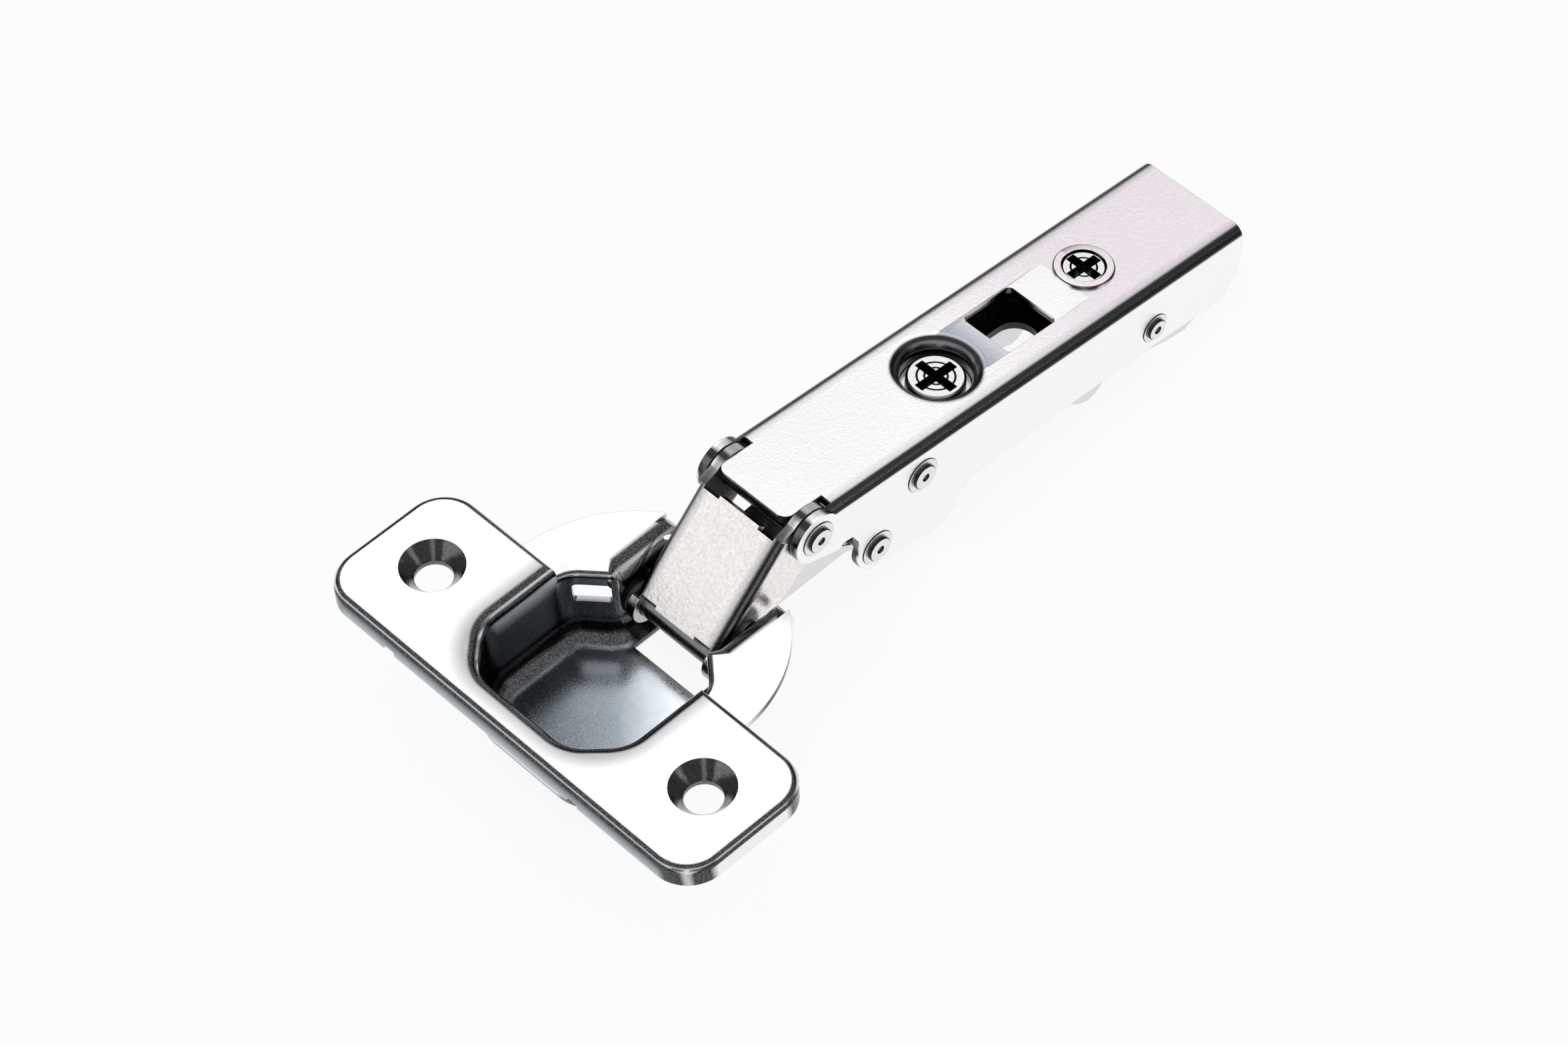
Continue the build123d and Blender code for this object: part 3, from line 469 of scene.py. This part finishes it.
# %% [markdown]
# ## Dressing a stamping
# The frame's solids are exact, but they arrive as loose triangles. A dressed
# copy is merged into one skin and shaded smooth up to the die edges. Its
# normals are weighted by face area, so the flats stay flat right up to the
# folds. Then each corner's `polish` is measured against the flat directions;
# in a place of painted shade only the first of them counts, so its walls get
# the painted dark of a fold too.

# %% Skin, polish and shade
SHARP = radians(32)
FULL_POLISH = radians(45)
MERGE_WITHIN = 0.0015 * MM
TOO_SHORT = 0.0005 * MM


def merge_skin(mesh):
    """One closed skin from loose triangles, smooth up to its sharp edges."""
    work = bmesh.new()
    work.from_mesh(mesh)
    bmesh.ops.remove_doubles(work, verts=work.verts, dist=MERGE_WITHIN)
    bmesh.ops.dissolve_degenerate(work, dist=TOO_SHORT, edges=work.edges)
    bmesh.ops.recalc_face_normals(work, faces=work.faces)
    for face in work.faces:
        face.smooth = True
    for edge in work.edges:
        if len(edge.link_faces) == 2:
            edge.smooth = edge.calc_face_angle(0.0) < SHARP
    work.to_mesh(mesh)
    work.free()


def plain_mesh(piece):
    """The piece's mesh with its modifiers worked in; they are removed."""
    graph = bpy.context.evaluated_depsgraph_get()
    mesh = bpy.data.meshes.new_from_object(piece.evaluated_get(graph))
    piece.modifiers.clear()
    piece.data = mesh
    return mesh


def finish_mesh(piece, flats, inside=None):
    """Smooth shading, area-weighted normals, and the polish and shade numbers."""
    merge_skin(piece.data)
    weigh = piece.modifiers.new("weigh", "WEIGHTED_NORMAL")
    weigh.mode = "FACE_AREA"
    weigh.weight = 100
    weigh.keep_sharp = True
    mesh = plain_mesh(piece)
    axes = [Vector(flat).normalized() for flat in flats]
    polish, shade = [0.0] * len(mesh.loops), [0.0] * len(mesh.loops)
    for face in mesh.polygons:
        for i in face.loop_indices:
            if inside:
                shade[i] = inside(mesh.vertices[mesh.loops[i].vertex_index].co, face.center)
            known = axes[:1] if shade[i] > 0.5 else axes
            facing = max(abs(mesh.corner_normals[i].vector.dot(axis)) for axis in known)
            polish[i] = min(1.0, acos(min(1.0, facing)) / FULL_POLISH)
    for name, values in (("polish", polish), ("shade", shade)):
        mesh.attributes.new(name, "FLOAT", "CORNER").data.foreach_set("value", values)


print("sharp from", round(degrees(SHARP)), "degrees")

# %% [markdown]
# A dressed copy takes its solid's place and rides on the same body.

# %% Dressed copies
def dressed(node, material, flats, body, inside=None):
    """A skin over one solid, in its exact shape, with its own finish."""
    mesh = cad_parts[node].data.copy()
    mesh.name = node + "_skin"
    for layer in list(mesh.uv_layers):
        mesh.uv_layers.remove(layer)
    piece = bpy.data.objects.new(node + "_skin", mesh)
    bpy.context.scene.collection.objects.link(piece)
    mesh.materials.clear()
    mesh.materials.append(material)
    finish_mesh(piece, flats, inside)
    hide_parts(node)
    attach(piece, body)
    print(piece.name, len(piece.data.polygons), "faces")


print("solids to dress:", len(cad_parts))

# %% [markdown]
# ## Which way is flat
# Each folded piece has its own flat directions. The arm leans a little when
# the hinge is open, and the outer link stands between cup and arm.

# %% Flat directions
SLOPE = radians(43.6)
UP = (0, 0, 1)
AHEAD_OF_CUP = (1, 0, 0)
ACROSS = (0, 1, 0)
ARM_UP = (sin(DIP), 0, cos(DIP))
ARM_ALONG = (cos(DIP), 0, -sin(DIP))
LINK_UP = (-sin(SLOPE), 0, cos(SLOPE))
print("link stands", round(degrees(SLOPE), 1), "degrees up from the cup")

# %% [markdown]
# ## Hidden places with painted shade
# Inside the cup the drawn plate is smoother, and its dark is painted shade. The
# inside of the arm, the rail's roof that slides against it, and the driver
# recesses in the screws get painted shade as well. Each rule below answers, for
# one corner of a face and that face's middle, how much painted shade it gets: 0
# outside, 1 inside.

# %% Dark places in the cup
CAVITY_BACK, CAVITY_FRONT, CAVITY_HALF, CAVITY_FLOOR = -16.5, 15.5, 12.5, -10.1
CORNER_CUT = 4.6
SHOULDER_X, SHOULDER_GAP, SHOULDER_SLOPE = 1.3, 0.3, 1.19
THROAT_HALF = 8.1
SCREW_HOLE = (-9.5, 22.5)
COUNTERSINK, COUNTERSINK_SHADE = 3.85, 0.88
RIM_LEVEL, DEEP_LEVEL = 1.4, -1.5


def in_the_cup(place, middle):
    """How much painted shade a point gets, by how far into the drawn cavity it lies;
    countersinks get painted shade too.
    """
    x, y, z = place / MM
    hole_x, hole_y = SCREW_HOLE
    if hypot(middle.x / MM - hole_x, abs(middle.y / MM) - hole_y) < COUNTERSINK:
        return COUNTERSINK_SHADE
    chamfer = CAVITY_HALF - CORNER_CUT + abs(CAVITY_BACK - x)
    narrowing = CAVITY_HALF + SHOULDER_GAP - SHOULDER_SLOPE * max(0.0, x - SHOULDER_X)
    half = min(CAVITY_HALF, chamfer, max(THROAT_HALF, narrowing))
    if not (CAVITY_BACK < x < CAVITY_FRONT and abs(y) < half and z > CAVITY_FLOOR):
        return 0.0
    return min(1.0, max(0.0, (RIM_LEVEL - z) / (RIM_LEVEL - DEEP_LEVEL)))


print("dark from", RIM_LEVEL, "down to", DEEP_LEVEL, "mm")

# %% [markdown]
# Places in the arm are easiest to name along its leaning roof, so a point is
# first turned into the arm's own directions. A screw's flat top stays bright,
# and what lies below it near the axis or under the rim gets painted shade.

# %% Dark places in the arm
ROOF_AT_AXIS = 11.13
ARM_INSIDE_HALF, ROOF_UNDERSIDE = 7.2, -1.05
RAIL_HALF, RAIL_ROOF_FOOT = 6.5, -5.5
FACE_SKIN = 0.12
RIM_HEIGHT = 1.3


def along_arm(place):
    """A point as seen from the arm: along it, across it, above its roof."""
    x, y, z = place / MM
    z -= ROOF_AT_AXIS
    return x * cos(DIP) - z * sin(DIP), y, x * sin(DIP) + z * cos(DIP)


def in_the_arm(place, middle):
    """The inside of the folded channel, which gets painted shade."""
    _, y, high = along_arm(place)
    return float(abs(y) < ARM_INSIDE_HALF and high < ROOF_UNDERSIDE)


def on_the_rail_roof(place, middle):
    """The rail's roof, hidden in the arm, which gets painted shade."""
    _, y, high = along_arm(place)
    return float(abs(y) < RAIL_HALF and high > RAIL_ROOF_FOOT)


def in_screw(axis, top, reach):
    """Rule for one screw: painted shade in its recess, its ring grooves and under its rim."""
    def rule(place, middle):
        along, y, high = along_arm(place)
        out = hypot(along - axis, y)
        return float(high < top - FACE_SKIN and (out < reach or high > top - RIM_HEIGHT))
    return rule


in_side_screw = in_screw(axis=49.78, top=-1.4, reach=3.0)
in_depth_screw = in_screw(axis=74.48, top=0.15, reach=2.4)
print("an arm point:", [round(v, 1) for v in along_arm(Vector((0.05, 0, 0.006)))])

# %% [markdown]
# ## Sixteen skins
# Every piece that was stamped, turned or moulded now gets its finish, its flat
# directions and, where it has any, its places of painted shade.

# %% Stampings and turned pieces
dressed("cup", CUP_NICKEL, [UP, ACROSS, AHEAD_OF_CUP], "cup", in_the_cup)
dressed("arm", ARM_NICKEL, [ARM_UP, ACROSS, ARM_ALONG], "arm", in_the_arm)
dressed("outer_link", LINK_NICKEL, [LINK_UP, ACROSS], "outer_link")
dressed("inner_link", RAIL_NICKEL, [ACROSS], "inner_link")
dressed("adjusting_rail", RAIL_NICKEL, [ARM_UP, ACROSS, ARM_ALONG], "rail", on_the_rail_roof)
dressed("clip_latch", RAIL_NICKEL, [ARM_UP, ACROSS], "latch")
dressed("side_screw", SCREW_NICKEL, [ARM_UP], "side_screw", in_side_screw)
dressed("depth_screw", SCREW_NICKEL, [ARM_UP], "depth_screw", in_depth_screw)
dressed("depth_screw_clip", PIN_STEEL, [ARM_UP], "depth_screw")
dressed("rail_hook_pin", PIN_STEEL, [ACROSS], "rail")
dressed("cup_pin_outer", PIN_STEEL, [ACROSS], "cup")
dressed("cup_pin_inner", PIN_STEEL, [ACROSS], "cup")
dressed("latch_spring", SPRING_STEEL, [ARM_UP], "arm")
dressed("link_washer_left", NYLON, [ACROSS], "cup")
dressed("link_washer_right", NYLON, [ACROSS], "cup")
dressed("spring_sleeve", NYLON, [ACROSS], "arm")

# %% [markdown]
# ## Pieces that follow a rule
# A riveted pin is turned, so it is one profile swept round a circle. A spring
# is wire led along a helix. Both are best written as a rule with its sizes as
# inputs: one tree of geometry nodes makes every rivet of the arm, each from
# its own numbers. The result is then kept as a plain mesh.

# %% Rules for geometry
def rule_tree(name, sizes):
    """Geometry node tree with one named input for each size."""
    tree = bpy.data.node_groups.new(name, "GeometryNodeTree")
    tree.interface.new_socket("Geometry", in_out="OUTPUT", socket_type="NodeSocketGeometry")
    kinds = {int: "NodeSocketInt", float: "NodeSocketFloat", tuple: "NodeSocketVector"}
    for size, value in sizes.items():
        socket = tree.interface.new_socket(size, in_out="INPUT", socket_type=kinds[type(value)])
        socket.default_value = value
    source = tree.nodes.new("NodeGroupInput")
    return tree, {size: Value(tree, source.outputs[size]) for size in sizes}


def end_rule(tree, shape, material):
    """Close a tree: real geometry, its material, and the way out."""
    real = shape.node("GeometryNodeRealizeInstances", {"Geometry": shape})
    real = real.node("GeometryNodeSetMaterial", {"Geometry": real, "Material": material})
    output = tree.nodes.new("NodeGroupOutput")
    tree.links.new(real.socket, output.inputs[0])


def grown(node, tree, sizes, flats, body):
    """One piece made by a rule, kept as a plain mesh in place of a solid."""
    name = node + "_made"
    piece = bpy.data.objects.new(name, bpy.data.meshes.new(name))
    bpy.context.scene.collection.objects.link(piece)
    rule = piece.modifiers.new("rule", "NODES")
    rule.node_group = tree
    for socket in tree.interface.items_tree:
        if socket.in_out == "INPUT":
            rule[socket.identifier] = sizes[socket.name]
    plain_mesh(piece).name = name
    finish_mesh(piece, flats)
    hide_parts(node)
    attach(piece, body)
    measured = [round(v / MM, 2) for v in piece.dimensions]
    print(name, len(piece.data.polygons), "faces,", measured, "mm")


print("rules ready")

# %% [markdown]
# ## Riveted pins
# The pin goes through both arm walls and is riveted over outside. The tool
# leaves a thin flat ring on the wall, a raised face in it and a small dimple.
# Half the outline is written down, from the dimple out to the shank, and the
# other half is its mirror image.

# %% Outline of a rivet
RIVET = {
    "Half Width": 8.26 * MM,
    "Shank Radius": 1.6 * MM,
    "Ring Radius": 2.35 * MM,
    "Ring Height": 0.12 * MM,
    "Face Radius": 1.65 * MM,
    "Face Height": 0.45 * MM,
    "Dimple Radius": 0.55 * MM,
    "Dimple Depth": 0.3 * MM,
    "Edge": 0.12 * MM,
    "Sides": 72,
    "Centre": (0.0, 0.0, 0.0),
}
DIMPLE_FLOOR = 0.7

rivet_tree, size = rule_tree("riveted pin", RIVET)
wall = size["Half Width"]
ledge = wall + size["Ring Height"]
tip = ledge + size["Face Height"]
pit = tip - size["Dimple Depth"]
ring_edge = size["Ring Height"] * 0.5
half_profile = [
    (0.0, pit),
    (size["Dimple Radius"] * DIMPLE_FLOOR, pit),
    (size["Dimple Radius"], tip),
    (size["Face Radius"] - size["Edge"], tip),
    (size["Face Radius"], tip - size["Edge"]),
    (size["Face Radius"], ledge),
    (size["Ring Radius"] - ring_edge, ledge),
    (size["Ring Radius"], ledge - ring_edge),
    (size["Ring Radius"], wall),
    (size["Shank Radius"], wall),
]
other_half = [(out, 0.0 - along) for out, along in reversed(half_profile)]
profile = half_profile + other_half
print("rivet outline:", len(profile), "points")

# %% [markdown]
# The outline's points are looked up by number, joined to a curve and swept
# round a circle too small to see, which turns the pin as a lathe would.

# %% Turning rule
TURNING_RADIUS = 0.001 * MM
WELD_WITHIN = 0.005 * MM

start = Value(rivet_tree)
pick = rivet_tree.nodes.new("GeometryNodeIndexSwitch")
pick.data_type = "VECTOR"
while len(pick.index_switch_items) < len(profile):
    pick.index_switch_items.new()
order = start.node("GeometryNodeInputIndex")
rivet_tree.links.new(order.socket, pick.inputs["Index"])
for i, (out, along) in enumerate(profile):
    spot = start.node("ShaderNodeCombineXYZ", {0: out, 1: along})
    rivet_tree.links.new(spot.socket, pick.inputs[str(i)])
spots = Value(rivet_tree, pick.outputs[0])
row = start.node("GeometryNodeMeshLine", {"Count": len(profile)})
row = start.node("GeometryNodeSetPosition", {"Geometry": row, "Position": spots})
row = start.node("GeometryNodeMeshToCurve", {"Mesh": row})
circle = {"Resolution": size["Sides"], "Radius": TURNING_RADIUS}
path = start.node("GeometryNodeCurvePrimitiveCircle", circle)
pin = start.node("GeometryNodeCurveToMesh", {"Curve": path, "Profile Curve": row})
pin = start.node("GeometryNodeMergeByDistance", {"Geometry": pin, "Distance": WELD_WITHIN})
placing = {"Geometry": pin, "Rotation": (pi / 2, 0, 0), "Translation": size["Centre"]}
pin = start.node("GeometryNodeTransform", placing)
end_rule(rivet_tree, pin, RIVET_NICKEL)
print("turning rule:", len(rivet_tree.nodes), "nodes")

# %% [markdown]
# Three pins share one size. The latch hangs on a thinner one.

# %% Four pins
PINS = {
    "arm_pin_outer": (22.283, 5.815),
    "arm_pin_inner": (31.273, -3.704),
    "spring_pin": (38.897, 2.712),
    "latch_pin": (77.694, -3.485),
}
LATCH_SHANK = 1.2 * MM
LATCH_SCALE = 0.85

for node, (x, z) in PINS.items():
    sizes = dict(RIVET, Centre=(x * MM, 0.0, z * MM))
    if node == "latch_pin":
        sizes["Shank Radius"] = LATCH_SHANK
        sizes["Ring Radius"] *= LATCH_SCALE
        sizes["Face Radius"] *= LATCH_SCALE
    grown(node, rivet_tree, sizes, [ACROSS], "arm")

# %% [markdown]
# ## The closing spring
# The spring is wound from one length of wire. One leg lies along the arm's
# roof, the coil sits round the sleeve, and the other leg presses on the inner
# link. A leg leaves the coil along its tangent, so one formula leads the whole
# wire: the clamped angle walks the helix, and what is left over goes straight.

# %% Path of the wire
SPRING = {
    "Wire Radius": 0.55 * MM,
    "Coil Radius": 2.75 * MM,
    "Pitch": 1.3 * MM,
    "Turns": 3.125,
    "Rear Leg": 4.2 * MM,
    "Front Leg": 6.2 * MM,
    "Lean": DIP,
    "Points": 180,
    "Centre": (38.897 * MM, 0.0, 2.712 * MM),
}
spring_tree, size = rule_tree("closing spring", SPRING)
start = Value(spring_tree)
order = start.node("GeometryNodeInputIndex")
radius = size["Coil Radius"]
climb = size["Pitch"] * (0.5 / pi)
step = (radius * radius + climb * climb).root()
whole = size["Turns"] * (2 * pi)
length = size["Rear Leg"] + whole * step + size["Front Leg"]
walked = order * length * (1.0 / (size["Points"] - 1.0)) - size["Rear Leg"]
angle = (walked / step).at_least(0.0).at_most(whole)
share = (walked - angle * step) / step
sine, cosine = start.maths("SINE", angle), start.maths("COSINE", angle)
wire_place = {
    0: 0.0 - radius * sine - share * radius * cosine,
    1: climb * whole * 0.5 - climb * angle - share * climb,
    2: radius * cosine - share * radius * sine,
}
print("wire path:", len(spring_tree.nodes), "nodes")

# %% [markdown]
# A round wire follows that path. It is closed at both ends and leans with the
# arm.

# %% Spring
WIRE_SIDES = 20

spot = start.node("ShaderNodeCombineXYZ", wire_place)
row = start.node("GeometryNodeMeshLine", {"Count": size["Points"]})
row = start.node("GeometryNodeSetPosition", {"Geometry": row, "Position": spot})
row = start.node("GeometryNodeMeshToCurve", {"Mesh": row})
circle = {"Resolution": WIRE_SIDES, "Radius": size["Wire Radius"]}
ring = start.node("GeometryNodeCurvePrimitiveCircle", circle)
sweep = {"Curve": row, "Profile Curve": ring, "Fill Caps": True}
wire = start.node("GeometryNodeCurveToMesh", sweep)
lean = start.node("ShaderNodeCombineXYZ", {1: size["Lean"]})
placing = {"Geometry": wire, "Rotation": lean, "Translation": size["Centre"]}
wire = start.node("GeometryNodeTransform", placing)
end_rule(spring_tree, wire, SPRING_STEEL)
grown("closing_spring", spring_tree, SPRING, [ACROSS], "arm")

# %% [markdown]
# ## The studio
# Polished metal shows its surroundings. The hinge lies on a pale table under
# a wide soft light, and a low ring of grey card stands around it. The card is
# seen only in the metal, where it gives the folds and the tops a soft change
# of tone as the eye goes round. Table and sky look brighter to the eye and in
# the metal than they are as lamps, so the white stays clean and even.

# %% Studio helpers
def stage_piece(name, mesh, material):
    """One piece of the studio, with its material."""
    piece = bpy.data.objects.new(name, mesh)
    bpy.context.scene.collection.objects.link(piece)
    mesh.materials.append(material)
    return piece


def seen_in(tree):
    """1 where a ray comes from the eye or from polished metal, else 0."""
    kinds = ("Is Camera Ray", "Is Glossy Ray", "Is Transmission Ray")
    camera_ray, glossy, through = [
        Value(tree).node("ShaderNodeLightPath", out=kind) for kind in kinds]
    return camera_ray.at_least(glossy).at_least(through)


print("studio helpers ready")

# %% Table
TABLE_GAP = 0.1 * MM
TABLE_LEVEL = cad_box[0].z - TABLE_GAP
TABLE_HALF = 3.0
TABLE_TONE = (0.9, 0.9, 0.9, 1)
TABLE_GLOW, TABLE_GLOW_SHARE = 1.06, 0.86

pale, pale_tree, pale_shader = new_material("pale table")
pale_shader.inputs["Base Color"].default_value = TABLE_TONE
pale_shader.inputs["Roughness"].default_value = 0.9
glow = pale_tree.nodes.new("ShaderNodeEmission")
glow.inputs["Strength"].default_value = TABLE_GLOW
both = pale_tree.nodes.new("ShaderNodeMixShader")
pale_tree.links.new((seen_in(pale_tree) * TABLE_GLOW_SHARE).socket, both.inputs[0])
pale_tree.links.new(pale_shader.outputs[0], both.inputs[1])
pale_tree.links.new(glow.outputs[0], both.inputs[2])
pale_out = next(n for n in pale_tree.nodes if n.type == "OUTPUT_MATERIAL")
pale_tree.links.new(both.outputs[0], pale_out.inputs[0])

table = bpy.data.meshes.new("table")
corners = [(x * TABLE_HALF, y * TABLE_HALF, TABLE_LEVEL)
           for x, y in ((-1, -1), (1, -1), (1, 1), (-1, 1))]
table.from_pydata(corners, [], [(0, 1, 2, 3)])
stage_piece("table", table, pale)
print("table at", round(TABLE_LEVEL / MM, 2), "mm")

# %% [markdown]
# The card has gaps, where the folds mirror the white beyond. Each gap is a
# bearing and a width in degrees, and bearing 0 lies towards the arm.

# %% Ring of card
CARD_RADIUS = 0.7
CARD_TOP = 0.45
CARD_TONE = (0.42, 0.42, 0.42, 1)
PANELS = 90
GAPS = {148: 84, 296: 16, 28: 16, 88: 16, 222: 16}


def in_a_gap(bearing):
    """Whether a bearing falls in one of the gaps."""
    off = {gap: abs((bearing - gap + 180) % 360 - 180) for gap in GAPS}
    return any(off[gap] < width / 2 for gap, width in GAPS.items())


card, _, card_shader = new_material("grey card")
card_shader.inputs["Base Color"].default_value = CARD_TONE
card_shader.inputs["Roughness"].default_value = 1.0
foot = TABLE_LEVEL + MM
work = bmesh.new()
for i in range(PANELS):
    if in_a_gap(360 * (i + 0.5) / PANELS):
        continue
    left, right = 2 * pi * i / PANELS, 2 * pi * (i + 1) / PANELS
    spots = ((left, foot), (right, foot), (right, CARD_TOP), (left, CARD_TOP))
    corners = [work.verts.new((CARD_RADIUS * cos(a), CARD_RADIUS * sin(a), high))
               for a, high in spots]
    work.faces.new(reversed(corners))
ring = bpy.data.meshes.new("card_ring")
work.to_mesh(ring)
work.free()
card_ring = stage_piece("card_ring", ring, card)
card_ring.visible_camera = False
card_ring.visible_diffuse = False
card_ring.visible_shadow = False
print("card panels:", len(ring.polygons), "of", PANELS)

# %% [markdown]
# A white sky and one square softbox, high behind the hinge, give the light.

# %% Sky and softbox
SKY_SEEN, SKY_LIGHT = 1.0, 0.45
LAMP_SIDE, LAMP_POWER = 0.6, 0.4
LAMP_PLACE = Vector((0.25, 0.35, 0.8))
LAMP_AIM = Vector((0.03, 0, 0))

world = bpy.data.worlds.new("studio")
bpy.context.scene.world = world
world.use_nodes = True
sky = world.node_tree
sky.nodes.clear()
strength = seen_in(sky) * (SKY_SEEN - SKY_LIGHT) + SKY_LIGHT
back = sky.nodes.new("ShaderNodeBackground")
out = sky.nodes.new("ShaderNodeOutputWorld")
back.inputs["Color"].default_value = (1, 1, 1, 1)
sky.links.new(strength.socket, back.inputs["Strength"])
sky.links.new(back.outputs[0], out.inputs[0])

lamp = bpy.data.lights.new("softbox", "AREA")
lamp.shape = "RECTANGLE"
lamp.size, lamp.size_y = LAMP_SIDE, LAMP_SIDE
lamp.energy = LAMP_POWER
softbox = bpy.data.objects.new("softbox", lamp)
bpy.context.scene.collection.objects.link(softbox)
softbox.location = LAMP_PLACE
softbox.rotation_euler = (LAMP_AIM - LAMP_PLACE).to_track_quat("-Z", "Y").to_euler()
print("softbox", LAMP_POWER, "W")

# %% [markdown]
# ## Done
# The view settings stay plain, so a colour shows about as it is written.

# %% Finish
bpy.context.scene.view_settings.view_transform = "Standard"
